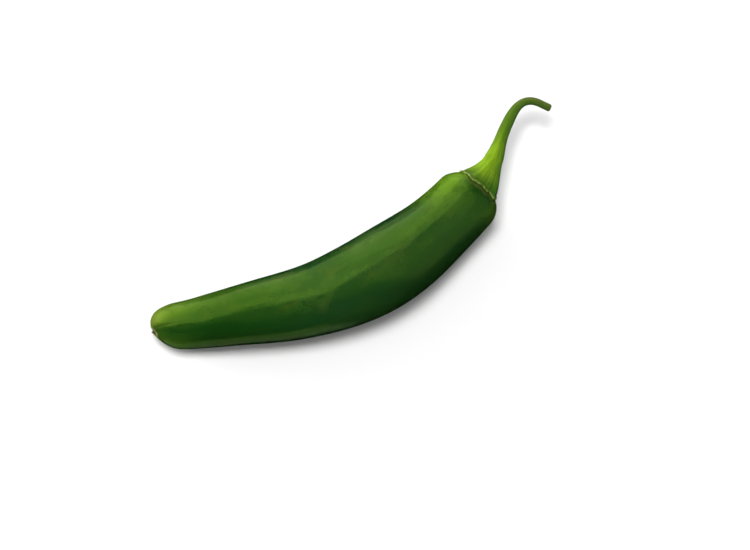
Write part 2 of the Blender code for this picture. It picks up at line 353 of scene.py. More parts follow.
class FruitForm:
    """The fruit's shape: a bent middle line, and rounded sections along it."""

    def __init__(self, length, belly_radius):
        self.length = length
        self.belly_radius = belly_radius
        share = np.linspace(0, 1, LINE_SAMPLES)
        heading = np.radians(spline(FRUIT_HEADING)(share))
        step = length / (LINE_SAMPLES - 1)
        wave = (1 - np.cos(math.tau * (share - FIRST_LOW_SPOT) / LOW_SPOT_SPACING)) / 2
        end = np.clip((share - SHOULDER_LIFT_FROM) / (1 - SHOULDER_LIFT_FROM), 0, None)
        lift = LOW_SPOT_RISE * wave + SHOULDER_LIFT * end**2 - FLAT_DEPTH
        height = belly_radius * SECTION_HEIGHT * girth(share) + lift
        self.line = np.stack([running_sum(np.cos(heading), step), running_sum(np.sin(heading), step), height], 1)

    def radius(self, share, turn):
        """The belly's radius times the girth, rounded off at both ends, with lobes, a swell and the tip's furrows.
        Also gives the tip's lean, the share by which it is fuller on its hollow side."""
        from_tip = share * self.length
        from_top = self.length - from_tip
        lobe_turn = LOBE_COUNT * (turn - LOBE_START) - LOBE_TWIST * share
        lobe = (LOBE_SHARE + SHOULDER_LOBE_SHARE * np.exp(-from_top / SHOULDER_ROUNDING)) * np.cos(lobe_turn)
        swell = SWELL_SHARE * np.sin(math.tau * SWELL_WAVES * share + turn)
        lean = TIP_LEAN_SHARE * np.exp(-from_tip / TIP_LEAN_REACH) * np.cos(turn - TIP_LEAN_TO)
        furrow = hump(nearest_turn(turn, FURROW_AT, LOBE_COUNT), FURROW_WIDTH) * np.exp(-from_tip / FURROW_REACH)
        ends = rounding(from_tip, TIP_ROUNDING) * rounding(from_top, SHOULDER_ROUNDING)
        return self.belly_radius * girth(share) * ends * (1 + lobe + swell + lean - FURROW_SHARE * furrow), lean

    def from_scar(self, radius, turn):
        """How far a place of the tip is from the visible scar's middle, seen along the fruit."""
        aside = SCAR_RAISED * np.exp(1j * SCAR_RAISED_TO)
        return np.abs(radius * np.exp(1j * turn) - aside)

    def surface(self, share, turn, relief=None):
        """The middle line's point plus the radius across it, with the sunken scar and its nub at the tip, the calyx's
        seat at the shoulder, and nothing below the table. Where relief is given it is added to the radius, the scar
        is tipped up inside a raised ring that a groove leads to, and the seat closes up to the calyx's worn rim."""
        point, direction, level, upright = frame_at(self.line, share)
        radius, lean = self.radius(share, turn)
        if relief is not None:
            radius = radius + relief
        from_top = self.length * (1 - share)
        across = level * np.cos(turn)[..., None] + upright * (np.sin(turn) * SECTION_HEIGHT)[..., None]
        dent = SCAR_DEPTH * hump(radius, SCAR_RADIUS)
        nub = SCAR_NUB * hump(radius, SCAR_NUB_RADIUS)
        seat = SEAT_DEPTH * eased((rim_depth(turn) + SEAT_BEYOND_RIM - from_top) / SEAT_EDGE)
        if relief is not None:
            away = self.from_scar(radius, turn)
            groove = TIP_GROOVE * hump(radius * np.sin(turn - TIP_CREASE_AT), TIP_GROOVE_WIDTH)
            cup = SCAR_DEPTH * hump(away, SCAR_RADIUS)
            ring = SCAR_RING_HEIGHT * hump(away - SCAR_RING, SCAR_RING_WIDTH)
            dent = groove * hump(radius, TIP_GROOVE_REACH) + cup - ring
            nub = SCAR_NUB * hump(away, SCAR_NUB_RADIUS)
            seat = SEAT_DEPTH * eased((worn_rim(turn) + SKIN_SEAT_BEYOND_RIM - from_top) / SKIN_SEAT_EDGE)
        scar = np.where(share < 0.5, dent - nub, 0)
        ahead = scar - seat - lean * TIP_LEAN_AHEAD * radius
        points = point + across * radius[..., None] + direction * ahead[..., None]
        points[..., 2] = np.maximum(points[..., 2], 0)
        return points

    def relief(self, share, turn):
        """Low relief of the skin, in metres: bell-shaped dents, long sine waves, a cushion round the calyx's seat,
        pleats and puckers that die away from the ends, and creases down the furrows and across the tip."""
        place = share[..., None]
        angle = turn[..., None]
        shares, turns, half_lengths, half_widths, depths = np.array(DENTS, float).T
        aside = nearest_turn(angle, np.radians(turns), 1)
        dents = (hump(place - shares, half_lengths) * hump(aside, np.radians(half_widths)) * depths).sum(-1)
        around, along, starts, heights = np.array(SKIN_WAVES, float).T
        waves = (np.sin(around * angle + math.tau * along * place + np.radians(starts)) * heights).sum(-1)

        from_tip = share * self.length / MM
        beyond = (self.length * (1 - share) - worn_rim(turn)) / MM
        cushion = CUSHION_HEIGHT * hump(beyond - CUSHION_AT, CUSHION_WIDTH)
        pleats = PLEAT_HEIGHT * np.sin(PLEAT_COUNT * turn + 2 * np.sin(3 * turn))
        pleats = pleats * np.exp(-np.clip(beyond - PLEATS_FROM, 0, None) / PLEAT_REACH)
        pucker = PUCKER_HEIGHT * np.sin(PUCKER_COUNT * turn + 3 * np.sin(2 * turn)) * np.exp(-from_tip / PUCKER_REACH)
        furrow = hump(nearest_turn(turn, FURROW_AT, LOBE_COUNT), FURROW_CREASE_WIDTH)
        pucker = pucker - FURROW_CREASE_DEPTH * furrow * np.exp(-from_tip / FURROW_CREASE_REACH)
        beside = self.radius(share, turn)[0] / MM * np.sin(turn - TIP_CREASE_AT)
        crease = TIP_CREASE_DEPTH * hump(beside, TIP_CREASE_WIDTH) * (np.cos(turn - TIP_CREASE_AT) > 0)
        pucker = pucker - crease * np.exp(-from_tip / TIP_CREASE_REACH)
        ends = rounding(share * self.length, TIP_ROUNDING) * rounding(self.length * (1 - share), SHOULDER_ROUNDING)
        return (waves - dents + cushion + pleats + pucker) * MM * ends

    def above(self, below_top, turn, distance):
        """Points that stand this far off the smooth surface, this far down from the fruit's top."""
        share = 1 - below_top / self.length
        points = self.surface(share, turn)
        along = points - self.surface(share - NUDGE, turn)
        around = self.surface(share, turn + NUDGE) - self.surface(share, turn - NUDGE)
        return points + unit(np.cross(around, along)) * np.asarray(distance)[..., None]


class StalkForm:
    """The calyx and stalk: a cap on the fruit's shoulder that narrows into a bent five-sided rod."""

    def __init__(self, fruit, length, cut_rounding):
        self.fruit = fruit
        self.length = length
        self.cut_rounding = cut_rounding
        along = np.linspace(0, length, LINE_SAMPLES)
        heading = np.radians(spline(STALK_HEADING)(along / MM))
        pitch = np.radians(spline(STALK_PITCH)(along / MM))
        rates = (np.cos(pitch) * np.cos(heading), np.cos(pitch) * np.sin(heading), np.sin(pitch))
        self.line = fruit.line[-1] + np.stack([running_sum(rate, along[1]) for rate in rates], 1)

    def fine_ribs(self, turn, along):
        """The sum of sines round the stalk whose phases wander as sines along it, in metres."""
        ribs = 0
        for count, wander, height in FINE_RIBS:
            drift = math.radians(wander) * np.sin(along / MM * RIB_WANDER_RATE + count)
            ribs = ribs + height * np.sin(count * turn + drift)
        return ribs * MM

    def rod(self, along, turn, radius):
        """The stalk's line plus a radius across it, made five-sided by a cosine round it."""
        point, _, level, upright = frame_at(self.line, along / self.length)
        radius = radius * (1 + ANGLE_SHARE * np.cos(TOOTH_COUNT * (turn - TOOTH_START)))
        return point + (level * np.cos(turn)[..., None] + upright * np.sin(turn)[..., None]) * radius[..., None]

    def flare(self, place, turn):
        """Bezier arcs from the rim to the stalk's neck, plus bell curves along them for the lip, the ridge of knots
        and the groove above it, and soft ribs that leave the rim clear."""
        depth = worn_rim(turn)
        rim = self.fruit.above(depth, turn, CALYX_GAP + rim_thickness(turn))
        _, direction, level, upright = frame_at(self.fruit.line, 1 - depth / self.fruit.length)
        outward = level * np.cos(turn)[..., None] + upright * np.sin(turn)[..., None]
        leaves_at = (FLARE_LEAVES_AT + FLARE_LEAN * np.cos(turn))[..., None]
        leaving = direction * np.cos(leaves_at) - outward * np.sin(leaves_at)
        neck_at = np.full_like(turn, FLARE_LENGTH)
        neck = self.rod(neck_at, turn, stalk_radius(neck_at))
        arriving = frame_at(self.line, neck_at / self.length)[1]
        held = rim + leaving * FLARE_PULL, neck - arriving * NECK_PULL
        after = place[..., None]
        left = 1 - after
        arc = rim * left**3 + held[0] * 3 * left**2 * after + held[1] * 3 * left * after**2 + neck * after**3
        lip = LIP_HEIGHT * hump(place, LIP_WIDTH)
        rib = RIB_HEIGHT * CALYX_RIB_SHARE * np.sin(math.pi * place) * tooth_at(turn, RIB_WIDTH)
        ridge = (RIM_RIDGE_HEIGHT + self.knots(turn)) * hump(place - RIM_RIDGE_AT, RIM_RIDGE_WIDTH)
        ridge = ridge + FOLD_HEIGHT * self.fold(place, turn)
        groove = RIM_GROOVE_DEPTH * hump(place - RIM_GROOVE_AT, RIM_GROOVE_WIDTH)
        ribs = self.fine_ribs(turn, place * FLARE_LENGTH) * (1 - hump(place, RIBS_FROM_RIM))
        return arc + outward * (lip + rib + ridge - groove + ribs)[..., None]

    def fold(self, place, turn):
        """A short wrinkle that leaves the rim slantwise at its upper end, from 0 to 1: a bell curve beside a
        slanting line, times one along it."""
        beside = place - FOLD_START - FOLD_SLANT * (turn - FOLD_START_TURN)
        return hump(beside, FOLD_WIDTH) * hump(turn - FOLD_MIDDLE_TURN, FOLD_REACH)

    def knots(self, turn):
        """The heights of the rim's knots at each angle, in metres: the sum of their bell curves."""
        turns, half_widths, heights = np.array(RIM_KNOTS, float).T
        aside = nearest_turn(turn[..., None], np.radians(turns), 1)
        return (hump(aside, np.radians(half_widths)) * heights).sum(-1) * MM

    def rim_edge(self, part, turn):
        """A half round from the calyx's underside to its top, bulging down the fruit."""
        depth = worn_rim(turn)
        thickness = rim_thickness(turn)
        bow = np.sin(math.pi * part) * thickness * RIM_BOW
        height = (1 - np.cos(math.pi * part)) / 2 * thickness
        return self.fruit.above(depth + bow, turn, CALYX_GAP + height)

    def underside(self, part, turn):
        """The calyx's inner face, an even gap off the fruit, from the middle to the rim as the part squared."""
        depth = np.maximum(worn_rim(turn) * part**2, POLE_RING)
        return self.fruit.above(depth, turn, np.full_like(turn, CALYX_GAP))

    def stem(self, along, turn):
        """The stalk's rod with its fine ribs, its end rounded off as a quarter circle."""
        radius = stalk_radius(along) + self.fine_ribs(turn, along)
        into = np.clip(along - (self.length - self.cut_rounding), 0, self.cut_rounding)
        inset = self.cut_rounding - np.sqrt(np.clip(self.cut_rounding**2 - into**2, 0, None))
        return self.rod(along, turn, radius - inset)

    def cut(self, part, turn):
        """The cut face, sunk a little towards its middle, with twisted fibres as sines round and across it."""
        edge = stalk_radius(self.length) - self.cut_rounding + self.fine_ribs(turn, self.length)
        fibres = FIBRE_HEIGHT * np.sin(FIBRE_COUNT * turn + FIBRE_TWIST * part) * np.sin(math.pi * part)
        sunk = CUT_SUNK * eased(part / CUT_SUNK_BY) - fibres
        return self.rod(self.length - sunk, turn, edge * (1 - part))


def in_scene(name, data):
    """A new object with this data, linked to the scene."""
    thing = bpy.data.objects.new(name, data)
    bpy.context.scene.collection.objects.link(thing)
    return thing


def closed_grid(name, rows, straight, marks):
    """One closed mesh from rows of points, a ring each, with a single point at each end, the mean of the first and
    of the last row. Straight says where each point would be if the piece were straight, kept as the attribute
    laid_straight, and marks holds further attributes by name. The rows go round so that faces point out."""
    count, around = rows.shape[:2]
    ends = rows[[0, -1]].mean(1)
    points = np.concatenate([ends[:1], rows.reshape(-1, 3), ends[1:]])
    ring = 1 + np.arange(count)[:, None] * around
    column = np.arange(around)
    beside = (column + 1) % around
    low, high = ring[:-1], ring[1:]
    quads = np.stack([low + column, low + beside, high + beside, high + column], -1).reshape(-1, 4)
    first = np.stack([np.zeros(around, int), 1 + beside, 1 + column], -1)
    last_ring = ring[-1, 0]
    last = np.stack([np.full(around, len(points) - 1), last_ring + column, last_ring + beside], -1)
    corners = np.concatenate([first.ravel(), quads.ravel(), last.ravel()])
    sizes = np.concatenate([np.full(around, 3), np.full(len(quads), 4), np.full(around, 3)])

    mesh = bpy.data.meshes.new(name)
    mesh.vertices.add(len(points))
    mesh.vertices.foreach_set("co", points.ravel())
    mesh.loops.add(len(corners))
    mesh.loops.foreach_set("vertex_index", corners)
    mesh.polygons.add(len(sizes))
    mesh.polygons.foreach_set("loop_start", np.concatenate([[0], np.cumsum(sizes)[:-1]]))
    mesh.update(calc_edges=True)
    mesh.shade_smooth()

    across, along = column / around, np.linspace(0, 1, count + 2)
    step = 1 / around
    left, right = (np.broadcast_to(across + shift, (count - 1, around)) for shift in (0, step))
    down, up = (np.broadcast_to(edge[:, None], (count - 1, around)) for edge in (along[1:-2], along[2:-1]))
    quad_map = np.stack([left, down, right, down, right, up, left, up], -1)

    def fan_map(*corners):
        """The map of an end's triangles, from each corner's places across and along."""
        return np.stack([np.broadcast_to(value, (around,)) for corner in corners for value in corner], -1)

    middle, beyond = across + step / 2, across + step
    low_map = fan_map((middle, 0), (beyond, along[1]), (across, along[1]))
    high_map = fan_map((middle, 1), (across, along[-2]), (beyond, along[-2]))
    unwrapped = np.concatenate([low_map.ravel(), quad_map.ravel(), high_map.ravel()])
    mesh.uv_layers.new(name="around_and_along").data.foreach_set("uv", unwrapped)

    def with_ends(values):
        return np.concatenate([values[:1].mean(1), values.reshape(-1, *values.shape[2:]), values[-1:].mean(1)])

    laid = mesh.attributes.new("laid_straight", "FLOAT_VECTOR", "POINT")
    laid.data.foreach_set("vector", with_ends(straight).ravel())
    for mark, values in marks.items():
        mesh.attributes.new(mark, "FLOAT", "POINT").data.foreach_set("value", with_ends(values).ravel())
    return in_scene(name, mesh)


def forms():
    """The two shapes, from the sizes in the scene's settings, and the plan shift that puts them where the frame is."""
    sizes = bpy.context.scene.chilli_shape
    fruit = FruitForm(sizes.fruit_length, sizes.belly_radius)
    stalk = StalkForm(fruit, sizes.stalk_length, sizes.cut_rounding)
    share, turn = np.meshgrid((1 - np.cos(np.linspace(0, math.pi, 200))) / 2, np.linspace(0, math.tau, 181))
    skin = fruit.surface(share, turn).reshape(-1, 3)
    low, high = (np.array(corner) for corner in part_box("fruit"))
    shift = (low + high - skin.min(0) - skin.max(0)) / 2
    shift[2] = 0
    return fruit, stalk, shift


class NodeBench:
    """One material, and short ways to add and join its shader nodes."""

    def __init__(self, name):
        self.material = bpy.data.materials.new(name)
        self.material.use_nodes = True
        self.tree = self.material.node_tree
        self.shader = self.tree.nodes["Principled BSDF"]

    def feed(self, socket, value):
        if isinstance(value, bpy.types.NodeSocket):
            self.tree.links.new(value, socket)
        else:
            socket.default_value = value

    def add(self, kind, inputs, **settings):
        node = self.tree.nodes.new(kind)
        for key, value in settings.items():
            setattr(node, key, value)
        for key, value in inputs.items():
            self.feed(node.inputs[key], value)
        return node

    def finish(self, **values):
        for key, value in values.items():
            self.feed(self.shader.inputs[key.replace("_", " ")], value)
        return self.material

    def mark(self, name):
        return self.add("ShaderNodeAttribute", {}, attribute_name=name).outputs["Fac"]

    def place(self, stretch=(1, 1, 1)):
        """Where a point would be if the piece were straight, in metres, each axis times its stretch."""
        straight = self.add("ShaderNodeAttribute", {}, attribute_name="laid_straight").outputs["Vector"]
        return self.add("ShaderNodeMapping", {"Vector": straight, "Scale": stretch}).outputs["Vector"]

    def along(self):
        return self.add("ShaderNodeSeparateXYZ", {"Vector": self.place()}).outputs["Z"]

    def noise(self, stretch, size, detail=2):
        """Soft noise with patches of about this size in mm, on stretched axes."""
        inputs = {"Vector": self.place(stretch), "Scale": 1 / (size * MM), "Detail": detail}
        return self.add("ShaderNodeTexNoise", inputs).outputs["Fac"]

    def rise(self, value, start, end, low=0.0, high=1.0):
        """From low to high as the value goes from start to end, with soft ends."""
        inputs = {"Value": value, "From Min": start, "From Max": end, "To Min": low, "To Max": high}
        return self.add("ShaderNodeMapRange", inputs, interpolation_type="SMOOTHSTEP").outputs["Result"]

    def riser(self, value, unit_size=1):
        """The rise of one value, as a function whose start and end are in this unit."""
        return lambda start, end, *ends: self.rise(value, start * unit_size, end * unit_size, *ends)

    def grain(self, stretch, size, detail, *bounds):
        """Noise of this size in mm that rises between these bounds."""
        return self.rise(self.noise(stretch, size, detail), *bounds)

    def math(self, operation, *values):
        return self.add("ShaderNodeMath", dict(enumerate(values)), operation=operation).outputs["Value"]

    def mix(self, part, first, second):
        """The first colour where part is 0, the second where it is 1."""
        node = self.add("ShaderNodeMix", {0: part, 6: first, 7: second}, data_type="RGBA")
        return node.outputs[2]

    def product(self, first, *others):
        for other in others:
            first = self.math("MULTIPLY", first, other)
        return first

    def coated(self, body, *coats):
        """The body's colour under coats, one after another: each is a tint, and parts whose product says how much."""
        for tint, *parts in coats:
            body = self.mix(self.product(*parts), body, colour(tint))
        return body

    def bump(self, height, distance):
        return self.add("ShaderNodeBump", {"Height": height, "Distance": distance}).outputs["Normal"]


def colour(values):
    return (*values, 1)


def skin_material(look):
    """Waxy skin in coats of colour: dark green at the tip half and duller at the belly, with painted shade on the side
    away from the light and below the calyx, and painted light and highlights on the lit side of the ends and the
    shoulder, over the ends' ripening to yellow-green, with soft mottles and streaks over it. A brownish band and
    seam follow the calyx's rim, and a pale corky ring goes round the brown scar at the tip."""
    bench = NodeBench("waxy_pepper_skin")
    from_tip = bench.riser(bench.along(), MM)
    # How far a place is towards the side where light is painted: 1 there, 0 where shade is painted
    lit = bench.riser(bench.mark("lit"))
    beyond_rim = bench.riser(bench.mark("beyond_rim"))
    patches = bench.grain((1, 1, 0.45), 7, 3, 0.35, 0.7)
    streaked = bench.rise(patches, 0, 1, 1, 0.7)
    streaks = bench.grain((1, 1, 0.12), 1.3, 2, 0.3, 0.8)
    blotches = bench.grain((1, 1, 0.6), 5, 3, 0.45, 0.65)
    mottles = bench.grain((1.3, 1.3, 0.8), 2.4, 2, 0.52, 0.74, 0, 0.4)
    russet = bench.grain((0.9, 0.9, 0.7), 3.6, 2, 0.54, 0.78, 0, 0.13)
    ends = bench.math("MAXIMUM", from_tip(0, 36, 1, 0), from_tip(74, 93))
    seam = beyond_rim(0.1, 0.8, 0.45, 0)
    uneven = bench.product(bench.noise((1, 1, 1), 0.5), 0.5)
    from_scar = bench.riser(bench.math("ADD", bench.mark("from_scar"), uneven))
    ring = from_scar(1.5, 1.9, 0.9, 0)
    body = bench.coated(
        bench.mix(from_tip(20, 48), colour(look.dark_green), colour(look.belly_green)),
        (look.mid_green, patches, 0.6),
        # Painted shade away from the light, less of it near the tip; painted light on the tip's underside; soft
        # blotches
        (look.deep_green, lit(0.45, 0, 0, 0.7), from_tip(2, 20, 0.2, 1)),
        (look.light_green, from_tip(1, 16, 0.32, 0), lit(0.45, 0.1)),
        (look.light_green, blotches, lit(0.4, 0.9, 0.02, 0.14)),
        # Both ends ripen, painted lighter on the lit side; painted light on the shoulder's lit side, and a lighter
        # cheek painted on its shaded side
        (look.light_green, ends, bench.rise(patches, 0, 1, 0.65, 1), lit(0.5, 1, 0.06, 1.15)),
        (look.lime_green, from_tip(70, 86), lit(0.78, 0.98, 0, 0.6)),
        (look.light_green, from_tip(83, 91), lit(0.42, 0.24, 0, 0.35)),
        # Painted shade as a collar below the calyx, and as a streak down the shoulder half's lit side
        (look.dark_green, beyond_rim(2, 9, 0.75, 0), lit(0.96, 0.83), lit(0.24, 0.45)),
        (look.dark_green, from_tip(54, 66, 0, 0.6), from_tip(82, 73), lit(0.58, 0.72), lit(0.88, 0.77), streaked),
        # The tip lightens all round, under the fine patterns
        (look.light_green, from_tip(0, 6, 0.3, 0)),
        (look.light_green, streaks, 0.03),
        (look.deep_green, mottles, lit(0.3, 0.7)),
        (look.russet, russet, lit(0.3, 0.7)),
        # The band and the seam along the calyx's rim, and a painted highlight beside the rim where the lit side is
        # brightest
        (look.seam_brown, beyond_rim(0.5, 1.9, 0.42, 0), lit(0.9, 0.74), lit(0.3, 0.6, 0.3, 1)),
        (look.seam_brown, seam),
        (look.lime_green, beyond_rim(1.2, 4.4, 0.9, 0), lit(0.9, 0.97)),
        # The yellower tip, painted lighter on its lit side, and a painted highlight along its most lit line; the corky
        # ring, and the scar inside it
        (look.tip_yellow, from_tip(0.5, 7, 0.6, 0), lit(0.6, 0.86)),
        (look.tip_yellow, from_tip(3, 15, 0.5, 0), lit(0.94, 1)),
        (look.scar_cork, ring),
        (look.scar_brown, from_scar(1.05, 1.35, 0.95, 0)),
    )
    gloss = bench.grain((1, 1, 1), 2.2, 2, 0.3, 0.75, look.roughness - 0.03, look.roughness + 0.07)
    worn = bench.product(bench.math("MAXIMUM", seam, ring), 0.7)
    return bench.finish(
        Base_Color=body,
        Roughness=bench.math("MAXIMUM", gloss, worn),
        Normal=bench.bump(bench.noise((1, 1, 0.5), 2.8), 0.09 * MM),
        Specular_Tint=colour(look.gloss_tint),
        Specular_IOR_Level=1.0,
        IOR=1.7,
        Subsurface_Weight=0.08,
        Subsurface_Radius=(0.6, 1.0, 0.3),
        Subsurface_Scale=1.5 * MM,
    )


def stalk_material(look):
    """Satin plant tissue in coats of colour: duller at the rim, lime green on the calyx, darkening to olive along
    the stalk, with painted shade on the side away from the light, lengthwise streaks, a broken pale rim over a brown
    underside, and a brownish cut."""
    bench = NodeBench("satin_calyx_and_stalk")
    along = bench.riser(bench.along(), MM)
    streaks = bench.grain((1, 1, 0.1), 0.55, 3, 0.3, 0.75)
    patches = bench.grain((1, 1, 0.5), 1.8, 3, 0.35, 0.65)
    specks = bench.grain((1, 1, 1), 0.3, 1, 0.66, 0.76)
    body = bench.coated(
        bench.mix(along(0.2, 3.6), colour(look.rim_green), colour(look.calyx_green)),
        (look.stalk_green, along(5, 17.5)),
        (look.stalk_olive, along(17, 29)),
        (look.streak_green, streaks, along(1, 9, 0.08, 0.24)),
        (look.streak_green, patches, 0.35),
        (look.rim_pale, specks, 0.3),
        # Painted shade on the side away from the light
        (look.shade_green, bench.rise(bench.mark("lit"), 0.92, 0.2, 0, 0.85)),
    )
    broken = bench.grain((1, 1, 1), 1.1, 2, 0.38, 0.55)
    ridge = bench.mix(broken, colour(look.rim_brown), colour(look.rim_pale))
    body = bench.mix(bench.product(bench.mark("rim"), bench.rise(broken, 0, 1, 0.5, 1)), body, ridge)
    body = bench.coated(body, (look.rim_brown, bench.mark("under")), (look.cut_brown, bench.mark("cut")))
    return bench.finish(
        Base_Color=body,
        Roughness=bench.rise(streaks, 0, 1, look.roughness - 0.05, look.roughness + 0.08),
        Normal=bench.bump(bench.noise((1, 1, 0.08), 0.35, 3), 0.04 * MM),
        Specular_Tint=colour(look.gloss_tint),
        Specular_IOR_Level=0.8,
        Subsurface_Weight=0.12,
        Subsurface_Radius=(0.7, 1.0, 0.3),
        Subsurface_Scale=1.2 * MM,
    )


def tint(name, description, value):
    return FloatVectorProperty(name=name, description=description, default=value, subtype="COLOR", size=3, min=0, max=1)


def length(name, description, value, low, high):
    """A length setting, given in mm."""
    value, low, high = value * MM, low * MM, high * MM
    return FloatProperty(name=name, description=description, default=value, min=low, max=high, unit="LENGTH")


def factor(name, description, value, low, high):
    return FloatProperty(name=name, description=description, default=value, min=low, max=high, subtype="FACTOR")


def count(name, description, value, low, high):
    return IntProperty(name=name, description=description, default=value, min=low, max=high)


def brightness(name, description, value):
    return FloatProperty(name=name, description=description, default=value, min=0)


def angle(name, description, degrees):
    """An angle setting, given in degrees."""
    return FloatProperty(name=name, description=description, default=math.radians(degrees), subtype="ANGLE")


class ChilliShape(bpy.types.PropertyGroup):
    fruit_length: length("Fruit length", "Along the fruit's bent middle line", 93.5, 50, 150)
    belly_radius: length("Belly radius", "The fruit's radius where it is thickest", 10.25, 5, 20)
    stalk_length: length("Stalk length", "Along the stalk's middle line, from the fruit's top to the cut", 31.2, 15, 40)
    cut_rounding: length("Cut rounding", "How far the edge of the stalk's cut end is rounded", 0.45, 0.05, 0.8)
    relief: factor("Skin relief", "How strongly the skin's dents, waves and pleats show", 1.0, 0, 2)
    fruit_rows: count("Fruit rows", "Rings of points along the fruit", 320, 40, 400)
    fruit_columns: count("Fruit columns", "Points round the fruit", 256, 24, 256)
    stalk_columns: count("Stalk columns", "Points round the calyx and stalk", 200, 20, 240)


class SkinLook(bpy.types.PropertyGroup):
    # Dark green is the tip half's own colour, and also painted shade below the calyx and in the shoulder streak
    dark_green: tint("Dark green", "The deeper green of the tip half", (0.002, 0.042, 0.004))
    belly_green: tint("Belly green", "The duller deep green of the belly", (0.0075, 0.045, 0.0105))
    # Deep green is painted shade on the side away from the light, and the colour of the lit side's mottles
    deep_green: tint("Deep green", "The darkest green, on the shaded side", (0.003, 0.022, 0.0028))
    mid_green: tint("Mid green", "The softer patches on the body", (0.009, 0.052, 0.006))
    # Light green is the ends' ripening, and also painted light on the lit side, the shoulder's cheek and the tip's
    # underside
    light_green: tint("Light green", "The yellow-green of the tip and shoulder", (0.085, 0.175, 0.01))
    # Lime green is painted light on the shoulder's lit side, and a painted highlight beside the calyx's rim
    lime_green: tint("Lime green", "The brightest green, on the shoulder's sunny side", (0.125, 0.265, 0.008))
    # Tip yellow is partly painted light on the tip's lit lobe, and a painted highlight along its lit edge
    tip_yellow: tint("Tip yellow", "The yellower green of the tip's upper lobe", (0.2, 0.27, 0.03))
    # The russet mottles lie on the side where light is painted
    russet: tint("Russet", "The faint warm mottles of the sunny side", (0.14, 0.13, 0.015))
    seam_brown: tint("Seam brown", "The seam and the faint band along the calyx", (0.14, 0.13, 0.03))
    scar_cork: tint("Scar ring", "The pale corky ring at the blossom end", (0.36, 0.31, 0.14))
    scar_brown: tint("Scar brown", "The middle of the scar", (0.035, 0.028, 0.012))
    gloss_tint: tint("Gloss tint", "The tint of what the skin mirrors", (0.55, 1.0, 0.09))
    roughness: factor("Roughness", "How soft the skin's gloss is", 0.19, 0.05, 0.9)


class StalkLook(bpy.types.PropertyGroup):
    rim_green: tint("Rim green", "The duller green of the calyx by its rim", (0.055, 0.125, 0.008))
    calyx_green: tint("Calyx green", "The lime green of the calyx", (0.24, 0.41, 0.01))
    stalk_green: tint("Stalk green", "The green of the stalk's middle", (0.078, 0.16, 0.01))
    stalk_olive: tint("Stalk olive", "The duller green towards the cut", (0.1, 0.125, 0.028))
    streak_green: tint("Streak green", "The darker lengthwise streaks", (0.035, 0.09, 0.005))
    # Shade green is painted shade on the side away from the light
    shade_green: tint("Shade green", "The shaded side", (0.018, 0.085, 0.008))
    rim_pale: tint("Rim", "The pale ridge along the calyx's rim", (0.3, 0.4, 0.1))
    rim_brown: tint("Under the rim", "The brown underside of the rim", (0.11, 0.09, 0.03))
    cut_brown: tint("Cut", "The dried cut end", (0.09, 0.10, 0.025))
    gloss_tint: tint("Gloss tint", "The tint of what the stalk mirrors", (0.6, 1.0, 0.1))
    roughness: factor("Roughness", "How soft the stalk's gloss is", 0.45, 0.05, 0.9)


class StudioLook(bpy.types.PropertyGroup):
    floor_colour: tint("Floor", "The colour of the plain table", (0.88, 0.88, 0.88))
    sky_light: brightness("Sky light", "Brightness of the even light all round", 0.38)
    overhead: brightness("Overhead light", "Brightness of the light that makes the soft shadow", 20.5)
    side: brightness("Side light", "Brightness of the light opposite the shadow", 7.5)
    window: brightness("Window", "Brightness of the window that the skin mirrors", 0.52)
    back_window: brightness("Back window", "Brightness that the tip half mirrors besides", 0.25)
    low_card: brightness("Low card", "Brightness that the lower side mirrors", 0.2)
    ceiling_card: brightness("Ceiling card", "Brightness that the top mirrors", 0.075)
    right_card: brightness("Right card", "Brightness that the shoulder's end mirrors", 0.148)
    azimuth: angle("Camera azimuth", "Where the camera stands round the pepper", -25)
    elevation: angle("Camera elevation", "How far above the table's plane it looks from", 73)
    distance: length("Camera distance", "From the camera to the pepper", 500, 200, 3000)


class CHILLI_OT_fruit(bpy.types.Operator):
    """Makes the fruit: its skin with low relief, the scar at the blossom end and the calyx's seat"""

    bl_idname = "chilli.make_fruit"
    bl_label = "Make Fruit"

    def execute(self, context):
        sizes = context.scene.chilli_shape
        fruit, _, shift = forms()
        rows = np.arange(1, sizes.fruit_rows) / sizes.fruit_rows
        turn = math.tau * np.arange(sizes.fruit_columns) / sizes.fruit_columns
        share, turn = np.meshgrid((1 - np.cos(math.pi * rows)) / 2, turn, indexing="ij")
        points = fruit.surface(share, turn, fruit.relief(share, turn) * sizes.relief) + shift
        radius = fruit.radius(share, turn)[0]
        from_tip = share * fruit.length
        straight = np.stack([radius * np.cos(turn), radius * np.sin(turn), from_tip], -1)
        # The lit side is where light is painted into the skin's colour; the side opposite takes painted shade
        lit_turn = LIT_SIDE - LIT_SIDE_WANDER * np.sin(math.tau * LIT_SIDE_WANDER_WAVES * share)
        marks = {
            "beyond_rim": (fruit.length - from_tip - worn_rim(turn)) / MM,
            "lit": (1 + np.cos(turn - lit_turn)) / 2,
            "from_scar": np.where(share < 0.5, fruit.from_scar(radius, turn) / MM, FAR_FROM_SCAR),
        }
        piece = closed_grid("fruit_skin", points, straight, marks)
        piece.data.materials.append(skin_material(context.scene.chilli_skin))
        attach(piece, "root")
        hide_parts("fruit")
        return {"FINISHED"}


